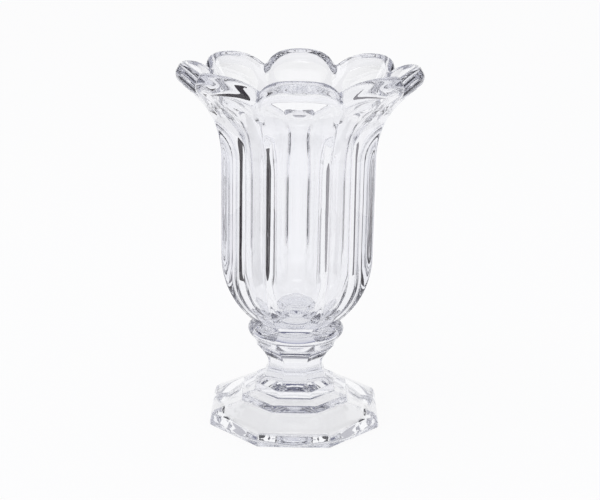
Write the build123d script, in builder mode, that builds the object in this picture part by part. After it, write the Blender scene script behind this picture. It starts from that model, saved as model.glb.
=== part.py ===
"""Footed glass flower vase, in millimetres.

A thick fluted bowl opens into a rim of petals. It stands on a lobed collar, a waisted stem and a
stepped foot, which all have the same number of sides. The origin is on the table, on the axis, and
+Z is up. A petal, a flute and a side of the foot face -Y.
"""

import os
from math import cos, radians, sin, sqrt, tan

from build123d import *

sides = 8

# Foot: half widths are measured to the middle of a side, and so is the ring around the hollow underneath
foot_half_width = 59.8
foot_side_height = 11.0
foot_side_draft = 1.3
lower_step_half_width = 37.5
lower_step_base = 16.0
upper_step_half_width = 28.0
step_rise = 5.0
step_draft = 0.5
tread_rise = 1.6
foot_height = 31.0
foot_edge_radius = 6.5
foot_base_radius = 1.5
step_edge_radius = 1.2
standing_ring_width = 4.8
foot_hollow_depth = 15.5

# Stem
stem_height = 26.0
stem_base_half_width = 21.5
stem_top_half_width = 27.0
waist_half_width = 18.8
waist_taper = 0.6
waist_height = 10.5
waist_band = 4.0
stem_lower_hollow = 0.5
stem_upper_hollow = 0.4

# Collar: radii at the middle of a lobe, then at the groove between two lobes; its base stands out over the
# flat sides of the stem's top by the two overhangs
collar_height = 14.0
collar_radius = 33.8
collar_groove_radius = 32.2
collar_base_overhang = 0.6
collar_base_groove_overhang = 2.0
collar_funnel_height = 6.6
collar_lower_radius = 5.0
collar_upper_radius = 5.0

# Bowl, outside: radii at the middle of a flute, then at the ridge between two flutes
bowl_height = 185.6
flute_radius = 47.5
ridge_radius = 56.7
seat_flute_radius = 25.0
seat_ridge_radius = 27.0
underside_angle = 54.5
underside_flute_radius = 48.0
underside_ridge_radius = 67.0
flute_flare_angle = 53.0
flute_flare_radius = 54.0
ridge_flare_angle = 33.0
ridge_flare_radius = 67.0

# Rim: each petal stands over a flute, each notch over a ridge
petal_radius = 85.25
petal_lip_height = 13.0
petal_lip_lean = 7.25
petal_rise = 6.5
petal_fullness = 3.0
notch_radius = 70.0
notch_lip_height = 16.1
notch_lip_lean = 3.6
lip_under_radius = 6.0
lip_top_radius = 4.2

# Bowl, inside
cavity_radius = 38.3
cavity_ridge_radius = 39.1
cavity_floor_height = 9.0
cavity_floor_radius = 12.6
cavity_bottom_angle = 70.0
cavity_bottom_radius = 34.0
cavity_flare_angle = 36.0
cavity_flare_radius = 38.0
cavity_notch_angle = 29.0

# How the bowl and collar are laid out: one flute or lobe is drawn as sections turned about the axis,
# and rounded corners take up this share of the line between them at most
sections_per_flute = 9
sections_per_lobe = 5
core_radius = 6.0
core_depth = 3.0
fillet_share = 0.99

half_pitch = 180 / sides
foot_hollow_radius = foot_half_width - standing_ring_width
stem_base = foot_height
collar_base = stem_base + stem_height
bowl_base = collar_base + collar_height
rim_top = bowl_base + bowl_height
cavity_floor = bowl_base + cavity_floor_height


def upright(angle):
    """The plane that holds the axis and points away from it at this angle about +Z."""
    turn = radians(angle)
    return Plane(origin=(0, 0, 0), x_dir=(cos(turn), sin(turn), 0), z_dir=(sin(turn), -cos(turn), 0))


def arc_radius(middle, edge, offset):
    """Distance from the axis of an arc that runs from edge through middle to edge.

    The edges are half a pitch to each side of the middle, and offset is the angle from the middle.
    """
    half = radians(half_pitch)
    bulge = middle - edge * cos(half)
    curvature = 2 * bulge / ((edge * sin(half)) ** 2 + bulge ** 2)
    bend = curvature * middle
    across = (1 - bend) * cos(radians(offset))
    return middle * (2 - bend) / (across + sqrt(across ** 2 + bend * (2 - bend)))


def between(middle, edge, offset):
    """A size that changes smoothly from the middle of a flute to its two edges."""
    return edge + (middle - edge) * (1 - (offset / half_pitch) ** 2)


def bowl_wall(offset):
    """Corners and corner radii of the bowl's wall, cut through at this angle from a flute's middle."""
    outside = arc_radius(flute_radius, ridge_radius, offset)
    seat = arc_radius(seat_flute_radius, seat_ridge_radius, offset)
    inside = arc_radius(cavity_radius, cavity_ridge_radius, offset)
    lip_outside = between(petal_radius, notch_radius, offset)
    lip_inside = between(petal_radius - petal_lip_lean, notch_radius - notch_lip_lean, offset)
    lip_top = rim_top - petal_rise * abs(offset / half_pitch) ** petal_fullness
    lip_base = lip_top - between(petal_lip_height, notch_lip_height, offset)
    flare = tan(radians(between(flute_flare_angle, ridge_flare_angle, offset)))
    cavity_flare = tan(radians(between(cavity_flare_angle, cavity_notch_angle, offset)))
    underside = tan(radians(underside_angle))
    bottom = tan(radians(cavity_bottom_angle))
    wall = [
        ((core_radius, bowl_base - core_depth), 0),
        ((seat - core_depth * underside, bowl_base - core_depth), 0),
        ((outside, bowl_base + (outside - seat) / underside),
         between(underside_flute_radius, underside_ridge_radius, offset)),
        ((outside, lip_base - (lip_outside - outside) / flare),
         between(flute_flare_radius, ridge_flare_radius, offset)),
        ((lip_outside, lip_base), lip_under_radius),
        ((lip_inside, lip_top), lip_top_radius),
        ((inside, lip_top - (lip_inside - inside) / cavity_flare), cavity_flare_radius),
        ((inside, cavity_floor + (inside - cavity_floor_radius) / bottom), cavity_bottom_radius),
        ((core_radius, cavity_floor - (cavity_floor_radius - core_radius) / bottom), 0),
    ]
    return [corner for corner, radius in wall], [radius for corner, radius in wall]


def collar_wall(offset):
    """Corners and corner radii of the collar, cut through at this angle from a lobe's middle."""
    base = arc_radius(stem_top_half_width + collar_base_overhang,
                      stem_top_half_width + collar_base_groove_overhang, offset)
    ring = arc_radius(collar_radius, collar_groove_radius, offset)
    wall = [
        ((core_radius, collar_base), 0),
        ((base, collar_base), 0),
        ((ring, collar_base + collar_funnel_height), collar_lower_radius),
        ((ring, bowl_base), collar_upper_radius),
        ((core_radius, bowl_base), 0),
    ]
    return [corner for corner, radius in wall], [radius for corner, radius in wall]


def fitted(corners, corner_radii):
    """Radii for the corners of a closed outline, smaller where two rounded corners would meet on a line."""
    count = len(corners)
    lengths = []
    reaches = []
    for here in range(count):
        before, corner, after = (Vector(*corners[(here + step) % count]) for step in (-1, 0, 1))
        turn = radians((corner - before).get_angle(after - corner))
        lengths.append((after - corner).length)
        reaches.append(corner_radii[here] * tan(turn / 2))
    room = []
    for here in range(count):
        taken = reaches[here] + reaches[(here + 1) % count]
        room.append(min(1, fillet_share * lengths[here] / taken) if taken else 1)
    return [radius * min(room[here - 1], room[here]) for here, radius in enumerate(corner_radii)]


def turned_sections(wall, count):
    """Sections of a wall, turned about the axis from one edge of a flute or lobe to the other."""
    sections = []
    for place in range(count):
        offset = half_pitch * (2 * place / (count - 1) - 1)
        corners, corner_radii = wall(offset)
        with BuildSketch(upright(offset)) as section:
            with BuildLine():
                FilletPolyline(*corners, radius=fitted(corners, corner_radii), close=True)
            make_face()
        sections.append(section.sketch)
    return sections


# Foot: a broad base, two steps and a slope up to the stem, with a domed hollow underneath
foot_outline = [
    (0, 0),
    (foot_half_width, 0),
    (foot_half_width - foot_side_draft, foot_side_height),
    (lower_step_half_width, lower_step_base),
    (lower_step_half_width - step_draft, lower_step_base + step_rise),
    (upper_step_half_width, lower_step_base + step_rise + tread_rise),
    (upper_step_half_width - step_draft, lower_step_base + 2 * step_rise + tread_rise),
    (stem_base_half_width, foot_height),
]
foot_corner_radii = [foot_base_radius, foot_edge_radius] + 4 * [step_edge_radius]
foot_reach = 2 * foot_half_width
hollow_curve = (foot_hollow_radius ** 2 + foot_hollow_depth ** 2) / (2 * foot_hollow_depth)

with BuildPart() as foot:
    for turn in range(sides // 2):
        with BuildSketch(upright(turn * 2 * half_pitch)):
            with BuildLine():
                FilletPolyline(*foot_outline, radius=foot_corner_radii)
                Polyline(foot_outline[-1], (0, foot_height), foot_outline[0])
            make_face()
            mirror(about=Plane.YZ)
        extrude(amount=foot_reach, both=True, mode=Mode.INTERSECT if turn else Mode.ADD)
    with Locations((0, 0, foot_hollow_depth - hollow_curve)):
        Sphere(hollow_curve, mode=Mode.SUBTRACT)

# Stem: flat sides that curve in to a short band at the waist
waist_base = stem_base + waist_height
waist_top = waist_base + waist_band
waist_top_half_width = waist_half_width + waist_taper
stem_top = stem_base + stem_height
stem_reach = 2 * stem_top_half_width

with BuildPart() as stem:
    for turn in range(sides // 2):
        with BuildSketch(upright(turn * 2 * half_pitch)):
            with BuildLine():
                SagittaArc((stem_base_half_width, stem_base), (waist_half_width, waist_base), stem_lower_hollow)
                Line((waist_half_width, waist_base), (waist_top_half_width, waist_top))
                SagittaArc((waist_top_half_width, waist_top), (stem_top_half_width, stem_top), stem_upper_hollow)
                Polyline((stem_top_half_width, stem_top), (0, stem_top), (0, stem_base),
                         (stem_base_half_width, stem_base))
            make_face()
            mirror(about=Plane.YZ)
        extrude(amount=stem_reach, both=True, mode=Mode.INTERSECT if turn else Mode.ADD)

# Collar: one lobe of a funnel with a thick round ring, then all of them with a solid middle
with BuildPart() as lobe:
    loft(turned_sections(collar_wall, sections_per_lobe))

with BuildPart() as collar:
    with PolarLocations(0, sides):
        add(lobe.part)
    with BuildSketch(Plane.XY.offset(collar_base)):
        Circle(2 * core_radius)
    extrude(amount=collar_height)

# Bowl: one flute with its petal, then all of them with a solid floor, cut flat where it sits
with BuildPart() as flute:
    loft(turned_sections(bowl_wall, sections_per_flute))

with BuildPart() as bowl:
    with PolarLocations(0, sides):
        add(flute.part)
    with BuildSketch(Plane.XY.offset(bowl_base - core_depth)):
        Circle(cavity_floor_radius + core_depth)
    extrude(amount=core_depth + cavity_floor_height)
    split(bisect_by=Plane.XY.offset(bowl_base), keep=Keep.TOP)

os.makedirs("parts", exist_ok=True)
foot.part.label = "foot"
stem.part.label = "stem"
collar.part.label = "collar"
bowl.part.label = "bowl"
export_step(foot.part, "parts/foot.step")
export_step(stem.part, "parts/stem.step")
export_step(collar.part, "parts/collar.step")
export_step(bowl.part, "parts/bowl.step")
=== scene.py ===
"""Clear glass flower vase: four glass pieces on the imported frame, a pale floor, soft light and the camera.

All lengths are in metres. A flute, a petal and a side of the foot face the camera, towards -Y. Where two
pieces of glass were joined hot there is no surface to see, so both pieces have a clear face there.
"""

from math import cos, pi, radians, sin, tan

import bpy
import numpy as np
from mathutils import Matrix, Vector


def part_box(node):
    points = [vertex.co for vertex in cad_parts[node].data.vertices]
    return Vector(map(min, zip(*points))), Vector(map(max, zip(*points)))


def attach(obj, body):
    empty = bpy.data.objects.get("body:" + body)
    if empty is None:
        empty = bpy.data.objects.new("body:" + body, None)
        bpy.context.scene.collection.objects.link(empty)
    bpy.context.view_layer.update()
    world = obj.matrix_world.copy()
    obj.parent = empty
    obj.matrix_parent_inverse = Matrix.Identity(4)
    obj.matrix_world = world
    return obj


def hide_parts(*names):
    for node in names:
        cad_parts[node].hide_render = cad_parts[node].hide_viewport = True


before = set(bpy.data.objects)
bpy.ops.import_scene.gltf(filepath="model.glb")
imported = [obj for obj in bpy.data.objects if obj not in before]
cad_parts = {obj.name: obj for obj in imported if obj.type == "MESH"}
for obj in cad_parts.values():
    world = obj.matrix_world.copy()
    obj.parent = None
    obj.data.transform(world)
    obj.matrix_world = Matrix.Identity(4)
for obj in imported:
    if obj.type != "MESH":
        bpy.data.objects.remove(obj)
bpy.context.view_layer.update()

MM = 0.001
SIDES = 8
HALF_PITCH = pi / SIDES

# Heights and the stem's reach, which the frame gives
stem_low, stem_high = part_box("stem")
stem_base = stem_low[2]
stem_top_half_width = stem_high[0]
collar_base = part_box("collar")[0][2]
bowl_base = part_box("bowl")[0][2]

# Foot: half widths are measured to the middle of a side, and so is the ring around the hollow underneath
foot_half_width = 59.8 * MM
foot_side_height = 11.0 * MM
foot_side_draft = 1.3 * MM
lower_step_half_width = 37.5 * MM
lower_step_base = 16.0 * MM
upper_step_half_width = 28.0 * MM
step_rise = 5.0 * MM
step_draft = 0.5 * MM
tread_rise = 1.6 * MM
foot_edge_radius = 6.5 * MM
foot_base_radius = 1.5 * MM
step_edge_radius = 1.2 * MM
foot_ridge_radius = 3.0 * MM
standing_ring_width = 4.8 * MM
foot_hollow_radius = foot_half_width - standing_ring_width
foot_hollow_depth = 15.5 * MM

# Stem
stem_base_half_width = 21.5 * MM
waist_half_width = 18.8 * MM
waist_taper = 0.6 * MM
waist_height = 10.5 * MM
waist_band = 4.0 * MM
stem_lower_hollow = 0.5 * MM
stem_upper_hollow = 0.4 * MM
stem_ridge_radius = 0.6 * MM

# Collar: radii at the middle of a lobe, then at the groove between two lobes; its base stands out over the
# flat sides of the stem's top by the two overhangs
collar_radius = 33.8 * MM
collar_groove_radius = 32.2 * MM
collar_base_overhang = 0.6 * MM
collar_base_groove_overhang = 2.0 * MM
collar_funnel_height = 6.6 * MM
collar_lower_radius = 5.0 * MM
collar_upper_radius = 5.0 * MM

# Bowl, outside: radii at the middle of a flute, then at the ridge between two flutes
flute_radius = 47.5 * MM
ridge_radius = 56.7 * MM
seat_flute_radius = 25.0 * MM
seat_ridge_radius = 27.0 * MM
underside_angle = radians(54.5)
underside_flute_radius = 48.0 * MM
underside_ridge_radius = 67.0 * MM
flute_flare_angle = radians(53.0)
flute_flare_radius = 54.0 * MM
ridge_flare_angle = radians(33.0)
ridge_flare_radius = 67.0 * MM

# Rim: each petal stands over a flute, each notch over a ridge
bowl_height = 185.6 * MM
rim_top = bowl_base + bowl_height
petal_radius = 85.25 * MM
petal_lip_height = 13.0 * MM
petal_lip_lean = 7.25 * MM
petal_rise = 6.5 * MM
petal_fullness = 3.0
notch_radius = 70.0 * MM
notch_lip_height = 16.1 * MM
notch_lip_lean = 3.6 * MM
lip_under_radius = 6.0 * MM
lip_top_radius = 4.2 * MM

# Bowl, inside
cavity_radius = 38.3 * MM
cavity_ridge_radius = 39.1 * MM
cavity_floor_height = 9.0 * MM
cavity_floor = bowl_base + cavity_floor_height
cavity_floor_radius = 12.6 * MM
cavity_floor_edge_radius = 1.5 * MM
cavity_bottom_angle = radians(70.0)
cavity_bottom_radius = 34.0 * MM
cavity_flare_angle = radians(36.0)
cavity_flare_radius = 38.0 * MM
cavity_notch_angle = radians(29.0)

# Hot joints: how far the clear faces reach, and how the glass draws back and rounds off around them
bowl_joint_radius = 24.0 * MM
collar_joint_radius = 26.4 * MM
joint_ease = 0.5 * MM
joint_edge_radius = 0.3 * MM

# Mesh of the bowl and collar: steps around one flute, drawn closer near the ridges. A ridge is soft because
# the shape is averaged over small turns, which reach a few times the softness to each side
flute_steps = 56
ridge_crowding = 0.6
ridge_softness = radians(1.25)
ridge_reach = 2
ridge_turns = 9

# Mesh of the stem and foot: points on a flat side and on the rounded ridge beside it, then the number of
# rows in each of the stem's curves, in its waist and in the foot's hollow
side_points = 9
ridge_points = 8
stem_curve_steps = 12
waist_steps = 6
hollow_steps = 24

# The rows next to the axis: their reach as a share of the cavity's floor and of the foot's hollow
floor_centre_share = 0.1
hollow_centre_share = 0.05

# Glass: how it bends light, the scale and detail of its streaks, waves and ripples, and its tint in depth
glass_bend = 1.53
streak_scale = 35.0
streak_detail = 3.0
streak_stops = ((0.3, (0.968, 0.971, 0.986, 1.0)), (0.7, (0.988, 0.990, 0.998, 1.0)))
wave_scale = 55.0
wave_detail = 1.0
wave_height = 0.10 * MM
ripple_scale = 170.0
ripple_detail = 2.0
ripple_stretch = (1.0, 1.0, 0.08)
ripple_height = 0.03 * MM
depth_colour = (0.875, 0.880, 0.920, 1.0)
depth_strength = 8.0

# Room and floor: the level of light that the room gives, and how much of the floor is plain white, seen
# directly and in the glass
room_level = 0.7
floor_white_direct = 0.92
floor_white_in_glass = 0.83
floor_colour = (0.90, 0.895, 0.985, 1.0)
floor_reach = 6.0
floor_drop = 0.2 * MM

# Over the vase: a level card and the lamp
top_card_reach = 0.5
top_card_height = 1.2
lamp_place = Vector((-0.5, -0.6, 1.6))
lamp_target = Vector((0, 0, 0.1))
lamp_size = (1.6, 1.2)
lamp_power = 6.0

# Camera
camera_place = Vector((2.03 * MM, -830.46 * MM, 369.73 * MM))
camera_look_down = radians(16.553)
camera_lean = radians(1.026)
camera_lens = 74.48
camera_sensor = 36.0

# Glass sends light back and forth many times before it leaves
glass_bounces = 40
mirror_bounces = 20


def empty_material(name):
    """A new material with an output and nothing else."""
    material = bpy.data.materials.new(name)
    material.use_nodes = True
    nodes = material.node_tree.nodes
    nodes.clear()
    return material, nodes, material.node_tree.links, nodes.new("ShaderNodeOutputMaterial")


def noise(nodes, links, place, scale, detail):
    """Soft noise over places in space."""
    texture = nodes.new("ShaderNodeTexNoise")
    texture.inputs["Scale"].default_value = scale
    texture.inputs["Detail"].default_value = detail
    links.new(place, texture.inputs["Vector"])
    return texture.outputs["Fac"]


def bump(nodes, links, pattern, height):
    """A surface that rises and falls with a pattern, by this height."""
    relief = nodes.new("ShaderNodeBump")
    relief.inputs["Strength"].default_value = 1.0
    relief.inputs["Distance"].default_value = height
    links.new(pattern, relief.inputs["Height"])
    return relief


def clear_glass():
    """Colourless fire-polished glass with the slow waves, fine ripples and faint streaks of pressing."""
    material, nodes, links, output = empty_material("clear_glass")
    glass = nodes.new("ShaderNodeBsdfPrincipled")
    glass.inputs["IOR"].default_value = glass_bend
    glass.inputs["Transmission Weight"].default_value = 1.0
    glass.inputs["Roughness"].default_value = 0.0
    links.new(glass.outputs["BSDF"], output.inputs["Surface"])
    place = nodes.new("ShaderNodeTexCoord").outputs["Object"]

    tint = nodes.new("ShaderNodeValToRGB")
    for element, (position, colour) in zip(tint.color_ramp.elements, streak_stops):
        element.position = position
        element.color = colour
    links.new(noise(nodes, links, place, streak_scale, streak_detail), tint.inputs["Fac"])
    links.new(tint.outputs["Color"], glass.inputs["Base Color"])

    waves = bump(nodes, links, noise(nodes, links, place, wave_scale, wave_detail), wave_height)
    drawn = nodes.new("ShaderNodeMapping")
    drawn.inputs["Scale"].default_value = ripple_stretch
    links.new(place, drawn.inputs["Vector"])
    lines = noise(nodes, links, drawn.outputs["Vector"], ripple_scale, ripple_detail)
    ripples = bump(nodes, links, lines, ripple_height)
    links.new(waves.outputs["Normal"], ripples.inputs["Normal"])
    links.new(ripples.outputs["Normal"], glass.inputs["Normal"])

    depth = nodes.new("ShaderNodeVolumeAbsorption")
    depth.inputs["Color"].default_value = depth_colour
    depth.inputs["Density"].default_value = depth_strength
    links.new(depth.outputs["Volume"], output.inputs["Volume"])
    return material


def clear_joint():
    """The face where two pieces are one glass: light goes straight through."""
    material, nodes, links, output = empty_material("clear_joint")
    through = nodes.new("ShaderNodeBsdfTransparent")
    links.new(through.outputs["BSDF"], output.inputs["Surface"])
    return material


def arc_radius(middle, edge, offset):
    """Distance from the axis of an arc that runs from edge through middle to edge.

    The edges are half a pitch to each side of the middle, and offset is the angle from the middle.
    """
    bulge = middle - edge * cos(HALF_PITCH)
    curvature = 2 * bulge / ((edge * sin(HALF_PITCH)) ** 2 + bulge ** 2)
    bend = curvature * middle
    across = (1 - bend) * np.cos(offset)
    return middle * (2 - bend) / (across + np.sqrt(across ** 2 + bend * (2 - bend)))


def between(middle, edge, offset):
    """A size that changes smoothly from the middle of a flute to its two edges."""
    return edge + (middle - edge) * (1 - (offset / HALF_PITCH) ** 2)


def rounded(corners, radii, run_steps, arc_steps):
    """Rows of (reach, height) along a line with rounded corners, one row to each step."""
    corners = [np.stack(np.broadcast_arrays(*np.atleast_1d(*corner)), axis=-1) for corner in corners]
    rows = []
    start = corners[0]
    for here, radius, run, arc in zip(range(1, len(corners) - 1), radii, run_steps, arc_steps):
        back = corners[here - 1] - corners[here]
        ahead = corners[here + 1] - corners[here]
        back = back / np.linalg.norm(back, axis=-1, keepdims=True)
        ahead = ahead / np.linalg.norm(ahead, axis=-1, keepdims=True)
        half_turn = np.arccos(np.clip(np.sum(back * ahead, axis=-1, keepdims=True), -1, 1)) / 2
        radius = np.reshape(radius, (-1, 1))
        arc_start = corners[here] + back * radius / np.tan(half_turn)
        arc_end = corners[here] + ahead * radius / np.tan(half_turn)
        middle = back + ahead
        middle = middle / np.linalg.norm(middle, axis=-1, keepdims=True)
        centre = corners[here] + middle * radius / np.sin(half_turn)
        sweep = pi - 2 * half_turn
        rows += [start + (arc_start - start) * t for t in np.linspace(0, 1, run, endpoint=False)]
        for t in np.linspace(0, 1, arc, endpoint=False):
            from_start = np.sin((1 - t) * sweep) * (arc_start - centre)
            from_end = np.sin(t * sweep) * (arc_end - centre)
            rows.append(centre + (from_start + from_end) / np.sin(sweep))
        start = arc_end
    rows += [start + (corners[-1] - start) * t for t in np.linspace(0, 1, run_steps[-1])]
    return np.array(rows)


def flute_angles():
    """Angles around the axis, closer together near each ridge."""
    step = np.linspace(-1, 1, flute_steps, endpoint=False)
    offset = HALF_PITCH * ((1 - ridge_crowding) * step + ridge_crowding * np.sin(step * pi / 2))
    return np.concatenate([offset + 2 * HALF_PITCH * side for side in range(SIDES)])


def soft_rows(profile, angles):
    """Rows of a profile at these angles around the axis, averaged over a ridge's softness."""
    spread = np.linspace(-ridge_reach, ridge_reach, ridge_turns)
    weights = np.exp(-spread ** 2 / 2)
    total = 0
    for shift, weight in zip(spread, weights / weights.sum()):
        turned = angles + shift * ridge_softness
        offset = turned - 2 * HALF_PITCH * np.round(turned / (2 * HALF_PITCH))
        total = total + weight * profile(offset)
    return total


def around(rows, angles):
    """Points in space from rows of (distance from the axis, height)."""
    reach = rows[..., 0]
    return np.stack([reach * np.cos(angles), reach * np.sin(angles), rows[..., 1] + 0 * angles], axis=-1)


def sided_ring(half_width, height, ridge_round):
    """Points around a ring with flat sides and rounded ridges between them."""
    inner = half_width - ridge_round
    points = []
    for side in range(SIDES):
        facing = 2 * HALF_PITCH * side
        out = np.array([cos(facing), sin(facing)])
        along = np.array([-sin(facing), cos(facing)])
        reach = inner * tan(HALF_PITCH)
        points += [half_width * out + t * reach * along for t in np.linspace(-1, 1, side_points)]
        corner = inner * out + reach * along
        turns = np.linspace(0, 2 * HALF_PITCH, ridge_points)[1:-1]
        points += [corner + ridge_round * np.array([cos(facing + a), sin(facing + a)]) for a in turns]
    return np.column_stack([np.array(points), np.full(len(points), height)])


def skin(name, points, glass, joint, start_joint, end_joint):
    """A closed mesh over rows of points around the axis, with a fan over each end.

    A fan is clear where the piece is joined to the next one, and glass where it isn't.
    """
    rows, turns, _ = points.shape
    around_axis = np.roll(points, -1, axis=1) - np.roll(points, 1, axis=1)
    along = np.gradient(points, axis=0)
    normals = np.cross(around_axis, along)
    normals /= np.linalg.norm(normals, axis=-1, keepdims=True)

    start_pole = rows * turns
    end_pole = start_pole + 1
    poles = [(0, 0, points[row, 0, 2]) for row in (0, rows - 1)]
    vertices = np.concatenate([points.reshape(-1, 3), np.array(poles)])
    faces = []
    face_normals = []
    slots = []
    for row in range(rows - 1):
        for turn in range(turns):
            after = (turn + 1) % turns
            ring = [(row, turn), (row, after), (row + 1, after), (row + 1, turn)]
            faces.append([r * turns + t for r, t in ring])
            face_normals += [normals[r, t] for r, t in ring]
            slots.append(0)
    for pole, row, up, jointed in ((start_pole, 0, -1, start_joint), (end_pole, rows - 1, 1, end_joint)):
        for turn in range(turns):
            pair = [row * turns + turn, row * turns + (turn + 1) % turns]
            faces.append([pole] + (pair if up > 0 else pair[::-1]))
            face_normals += 3 * [(0, 0, up)]
            slots.append(1 if jointed else 0)

    mesh = bpy.data.meshes.new(name)
    mesh.from_pydata(vertices.tolist(), [], faces)
    mesh.materials.append(glass)
    mesh.materials.append(joint)
    mesh.polygons.foreach_set("material_index", slots)
    mesh.polygons.foreach_set("use_smooth", [True] * len(faces))
    mesh.normals_split_custom_set([tuple(n) for n in face_normals])
    mesh.update()
    piece = bpy.data.objects.new(name, mesh)
    bpy.context.scene.collection.objects.link(piece)
    return piece


def stand_in(piece, node):
    """The piece takes the place of a node of the frame."""
    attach(piece, "root")
    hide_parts(node)


def bowl_profile(offset):
    """The bowl's wall at angles from a flute's middle: up the outside, over the lip, down to the floor."""
    outside = arc_radius(flute_radius, ridge_radius, offset)
    seat = arc_radius(seat_flute_radius, seat_ridge_radius, offset)
    inside = arc_radius(cavity_radius, cavity_ridge_radius, offset)
    lip_outside = between(petal_radius, notch_radius, offset)
    lip_inside = between(petal_radius - petal_lip_lean, notch_radius - notch_lip_lean, offset)
    lip_top = rim_top - petal_rise * np.abs(offset / HALF_PITCH) ** petal_fullness
    lip_base = lip_top - between(petal_lip_height, notch_lip_height, offset)
    flare = np.tan(between(flute_flare_angle, ridge_flare_angle, offset))
    cavity_flare = np.tan(between(cavity_flare_angle, cavity_notch_angle, offset))
    underside = tan(underside_angle)
    bottom = tan(cavity_bottom_angle)
    floor_height = np.full_like(offset, cavity_floor)
    corners = [
        (np.full_like(offset, bowl_joint_radius), np.full_like(offset, bowl_base)),
        (seat + joint_ease * underside, np.full_like(offset, bowl_base + joint_ease)),
        (outside, bowl_base + (outside - seat) / underside),
        (outside, lip_base - (lip_outside - outside) / flare),
        (lip_outside, lip_base),
        (lip_inside, lip_top),
        (inside, lip_top - (lip_inside - inside) / cavity_flare),
        (inside, cavity_floor + (inside - cavity_floor_radius) / bottom),
        (np.full_like(offset, cavity_floor_radius), floor_height),
        (floor_centre_share * np.full_like(offset, cavity_floor_radius), floor_height),
    ]
    flare_radius = between(flute_flare_radius, ridge_flare_radius, offset)
    turn_radius = between(underside_flute_radius, underside_ridge_radius, offset)
    radii = [joint_edge_radius, turn_radius, flare_radius, lip_under_radius, lip_top_radius,
             cavity_flare_radius, cavity_bottom_radius, cavity_floor_edge_radius]
    run_steps = [2, 3, 12, 12, 5, 14, 12, 4, 4]
    arc_steps = [3, 16, 22, 12, 20, 22, 20, 4]
    return rounded(corners, radii, run_steps, arc_steps)


def make_bowl(glass, joint):
    """The fluted bowl with its rim of petals."""
    angles = flute_angles()
    points = around(soft_rows(bowl_profile, angles), angles)
    stand_in(skin("glass_bowl", points, glass, joint, True, False), "bowl")


def collar_profile(offset):
    """The collar's side between the two joints: a funnel up to a thick round ring."""
    base = arc_radius(stem_top_half_width + collar_base_overhang,
                      stem_top_half_width + collar_base_groove_overhang, offset)
    ring = arc_radius(collar_radius, collar_groove_radius, offset)
    level = np.ones_like(offset)
    corners = [
        (collar_joint_radius * level, collar_base * level),
        (base, (collar_base + joint_ease) * level),
        (ring, (collar_base + collar_funnel_height) * level),
        (ring, (bowl_base - joint_ease) * level),
        (bowl_joint_radius * level, bowl_base * level),
    ]
    radii = [joint_edge_radius, collar_lower_radius, collar_upper_radius]
    run_steps = [2, 6, 4, 4]
    arc_steps = [3, 12, 20]
    return rounded(corners, radii, run_steps, arc_steps)


def make_collar(glass, joint):
    """The lobed ring between the bowl and the stem."""
    angles = flute_angles()
    points = around(soft_rows(collar_profile, angles), angles)
    stand_in(skin("glass_collar", points, glass, joint, True, True), "collar")


def hollow_run(start, end, depth, steps):
    """Points from start towards end along a shallow curve, which dips towards the axis by this depth."""
    start, end = np.array(start), np.array(end)
    across = end - start
    inward = np.array([-across[1], across[0]]) / np.linalg.norm(across)
    shares = np.linspace(0, 1, steps, endpoint=False)
    return [start + across * t + inward * depth * 4 * t * (1 - t) for t in shares]


def make_stem(glass, joint):
    """The waisted stem: flat sides that curve in to a short band."""
    waist_base = (waist_half_width, stem_base + waist_height)
    waist_top = (waist_half_width + waist_taper, stem_base + waist_height + waist_band)
    top = (stem_top_half_width, collar_base - joint_ease)
    line = hollow_run((stem_base_half_width, stem_base), waist_base, stem_lower_hollow, stem_curve_steps)
    line += hollow_run(waist_base, waist_top, 0, waist_steps)
    line += hollow_run(waist_top, top, stem_upper_hollow, stem_curve_steps)
    line.append(np.array(top))
    rings = [sided_ring(half_width, height, stem_ridge_radius) for half_width, height in line]
    last = rings[-1].copy()
    last[:, :2] *= collar_joint_radius / np.linalg.norm(last[:, :2], axis=1, keepdims=True)
    last[:, 2] = collar_base
    stand_in(skin("glass_stem", np.array(rings + [last]), glass, joint, True, True), "stem")


def make_foot(glass, joint):
    """The stepped foot with flat sides and a domed hollow underneath."""
    corners = [
        (foot_hollow_radius, 0),
        (foot_half_width, 0),
        (foot_half_width - foot_side_draft, foot_side_height),
        (lower_step_half_width, lower_step_base),
        (lower_step_half_width - step_draft, lower_step_base + step_rise),
        (upper_step_half_width, lower_step_base + step_rise + tread_rise),
        (upper_step_half_width - step_draft, lower_step_base + 2 * step_rise + tread_rise),
        (stem_base_half_width, stem_base),
    ]
    radii = [foot_base_radius, foot_edge_radius] + 4 * [step_edge_radius]
    run_steps = [4, 5, 8, 4, 5, 4, 5]
    arc_steps = [6, 12, 6, 6, 6, 6]
    line = rounded(corners, radii, run_steps, arc_steps)[:, 0, :]
    rings = [sided_ring(half_width, height, foot_ridge_radius) for half_width, height in line[1:]]
    outward = rings[0][:, :2] / np.linalg.norm(rings[0][:, :2], axis=1, keepdims=True)
    hollow_curve = (foot_hollow_radius ** 2 + foot_hollow_depth ** 2) / (2 * foot_hollow_depth)
    hollow = []
    for share in np.linspace(hollow_centre_share, 1, hollow_steps):
        reach = share * foot_hollow_radius
        height = foot_hollow_depth - hollow_curve + (hollow_curve ** 2 - reach ** 2) ** 0.5
        hollow.append(np.column_stack([outward * reach, np.full(len(outward), height)]))
    stand_in(skin("glass_foot", np.array(hollow + rings), glass, joint, False, True), "foot")


def light_path(nodes, links, *kinds):
    """A node output that is 1 for rays of these kinds and 0 for the rest."""
    path = nodes.new("ShaderNodeLightPath")
    value = path.outputs[kinds[0]]
    for kind in kinds[1:]:
        either = nodes.new("ShaderNodeMath")
        either.operation = "MAXIMUM"
        links.new(value, either.inputs[0])
        links.new(path.outputs[kind], either.inputs[1])
        value = either.outputs[0]
    return value


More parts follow.
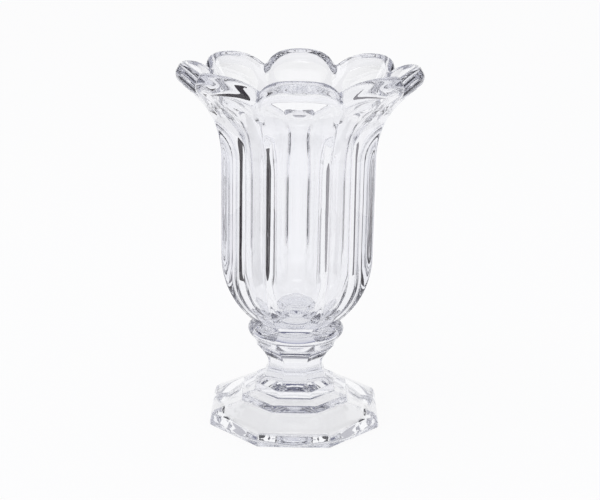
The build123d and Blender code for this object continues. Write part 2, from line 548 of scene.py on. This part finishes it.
def make_world():
    """A white room: full white to look at and through, and a plain level for the light it gives."""
    world = bpy.data.worlds.new("studio")
    world.use_nodes = True
    bpy.context.scene.world = world
    nodes, links = world.node_tree.nodes, world.node_tree.links
    nodes.clear()
    output = nodes.new("ShaderNodeOutputWorld")
    seen = nodes.new("ShaderNodeBackground")
    seen.inputs["Color"].default_value = (1, 1, 1, 1)
    seen.inputs["Strength"].default_value = 1.0
    given = nodes.new("ShaderNodeBackground")
    given.inputs["Color"].default_value = (1, 1, 1, 1)
    given.inputs["Strength"].default_value = room_level
    mix = nodes.new("ShaderNodeMixShader")
    looked_at = light_path(nodes, links, "Is Camera Ray", "Is Glossy Ray", "Is Transmission Ray")
    links.new(looked_at, mix.inputs["Fac"])
    links.new(given.outputs["Background"], mix.inputs[1])
    links.new(seen.outputs["Background"], mix.inputs[2])
    links.new(mix.outputs["Shader"], output.inputs["Surface"])


def floor_material():
    """Pale floor: mostly seen as white, with enough matt surface left to hold the vase's shadow.

    The glass shows a little more of the matt surface than the camera sees directly.
    """
    material, nodes, links, output = empty_material("pale_floor")
    matt = nodes.new("ShaderNodeBsdfDiffuse")
    matt.inputs["Color"].default_value = floor_colour
    white = nodes.new("ShaderNodeEmission")
    white.inputs["Strength"].default_value = 1.0
    direct = nodes.new("ShaderNodeMath")
    direct.operation = "MULTIPLY"
    direct.inputs[1].default_value = floor_white_direct
    links.new(light_path(nodes, links, "Is Camera Ray"), direct.inputs[0])
    share = nodes.new("ShaderNodeMath")
    share.operation = "MULTIPLY_ADD"
    share.inputs[1].default_value = floor_white_in_glass
    links.new(light_path(nodes, links, "Is Glossy Ray", "Is Transmission Ray"), share.inputs[0])
    links.new(direct.outputs[0], share.inputs[2])
    mix = nodes.new("ShaderNodeMixShader")
    links.new(share.outputs[0], mix.inputs["Fac"])
    links.new(matt.outputs["BSDF"], mix.inputs[1])
    links.new(white.outputs["Emission"], mix.inputs[2])
    links.new(mix.outputs["Shader"], output.inputs["Surface"])
    return material


def card_material(name, colour):
    """An evenly toned card outside the picture, which draws dark lines and soft greys in clear glass."""
    material, nodes, links, output = empty_material(name)
    flat = nodes.new("ShaderNodeEmission")
    flat.inputs["Color"].default_value = (*colour, 1)
    flat.inputs["Strength"].default_value = 1.0
    links.new(flat.outputs["Emission"], output.inputs["Surface"])
    return material


def panel(name, corners, material):
    """A flat four-cornered stage piece."""
    mesh = bpy.data.meshes.new(name)
    mesh.from_pydata(corners, [], [(0, 1, 2, 3)])
    mesh.materials.append(material)
    stage = bpy.data.objects.new(name, mesh)
    bpy.context.scene.collection.objects.link(stage)
    return stage


def glass_card(name, corners, material):
    """A card that shows in the glass alone, and neither lights nor shades the floor."""
    card = panel(name, corners, material)
    card.visible_camera = False
    card.visible_diffuse = False
    card.visible_shadow = False


def standing_card(name, facing, half_width, distances, heights, material):
    """A card at an angle from straight behind the vase; its lower edge comes first, then its upper one."""
    corners = []
    for distance, height, sides in zip(distances, heights, ((-1, 1), (1, -1))):
        for side in sides:
            angle = facing + side * half_width
            corners.append((distance * sin(angle), distance * cos(angle), height))
    glass_card(name, corners, material)


def level_square(reach, height):
    """Corners of a level square around the axis."""
    return [(x * reach, y * reach, height) for x, y in ((-1, -1), (1, -1), (1, 1), (-1, 1))]


def make_stage():
    """The floor, and cards around and over the set: the darkest beside the vase, the palest behind it."""
    panel("floor", level_square(floor_reach, -floor_drop), floor_material())
    dark = card_material("dark_card", (0.02, 0.015, 0.02))
    shade = card_material("shade_card", (0.22, 0.21, 0.23))
    dim = card_material("dim_card", (0.04, 0.04, 0.05))
    mist = card_material("mist_card", (0.50, 0.50, 0.54))
    grey = card_material("grey_card", (0.25, 0.25, 0.28))
    standing_card("left_card", radians(-80), radians(12), (0.13, 0.36), (0.055, 0.24), dark)
    standing_card("right_card", radians(80), radians(6), (0.13, 0.36), (0.08, 0.24), shade)
    for name, side in (("left", -1), ("right", 1)):
        standing_card(name + "_low_card", side * radians(125), radians(22), (0.4, 0.4), (0.0, 0.07), dim)
        standing_card(name + "_flag", side * radians(97), radians(62), (0.7, 0.7), (0.26, 0.9), dim)
    glass_card("top_card", level_square(top_card_reach, top_card_height), shade)
    standing_card("back_flag", 0, radians(30), (1.2, 1.2), (0.6, 1.4), mist)
    standing_card("front_flag", radians(180), radians(48), (1.3, 1.3), (0.4, 1.4), grey)


def make_lamps():
    """One broad soft lamp overhead."""
    lamp = bpy.data.lights.new("softbox", "AREA")
    lamp.shape = "RECTANGLE"
    lamp.size, lamp.size_y = lamp_size
    lamp.energy = lamp_power
    softbox = bpy.data.objects.new("softbox", lamp)
    softbox.location = lamp_place
    softbox.rotation_euler = (lamp_target - lamp_place).to_track_quat("-Z", "Y").to_euler()
    bpy.context.scene.collection.objects.link(softbox)


def make_camera():
    """The photograph's viewpoint: a little above the rim, looking down, with a slight lean."""
    camera = bpy.data.cameras.new("camera")
    camera.sensor_fit = "HORIZONTAL"
    camera.sensor_width = camera_sensor
    camera.lens = camera_lens
    viewer = bpy.data.objects.new("camera", camera)
    place = Matrix.Translation(camera_place)
    tilt = Matrix.Rotation(pi / 2 - camera_look_down, 4, "X")
    viewer.matrix_world = place @ tilt @ Matrix.Rotation(camera_lean, 4, "Z")
    bpy.context.scene.collection.objects.link(viewer)
    bpy.context.scene.camera = viewer


glass = clear_glass()
joint = clear_joint()
make_foot(glass, joint)
make_stem(glass, joint)
make_collar(glass, joint)
make_bowl(glass, joint)
make_world()
make_stage()
make_lamps()
make_camera()

scene = bpy.context.scene
scene.view_settings.view_transform = "Standard"
scene.cycles.max_bounces = glass_bounces
scene.cycles.transmission_bounces = glass_bounces
scene.cycles.glossy_bounces = mirror_bounces
scene.cycles.transparent_max_bounces = glass_bounces
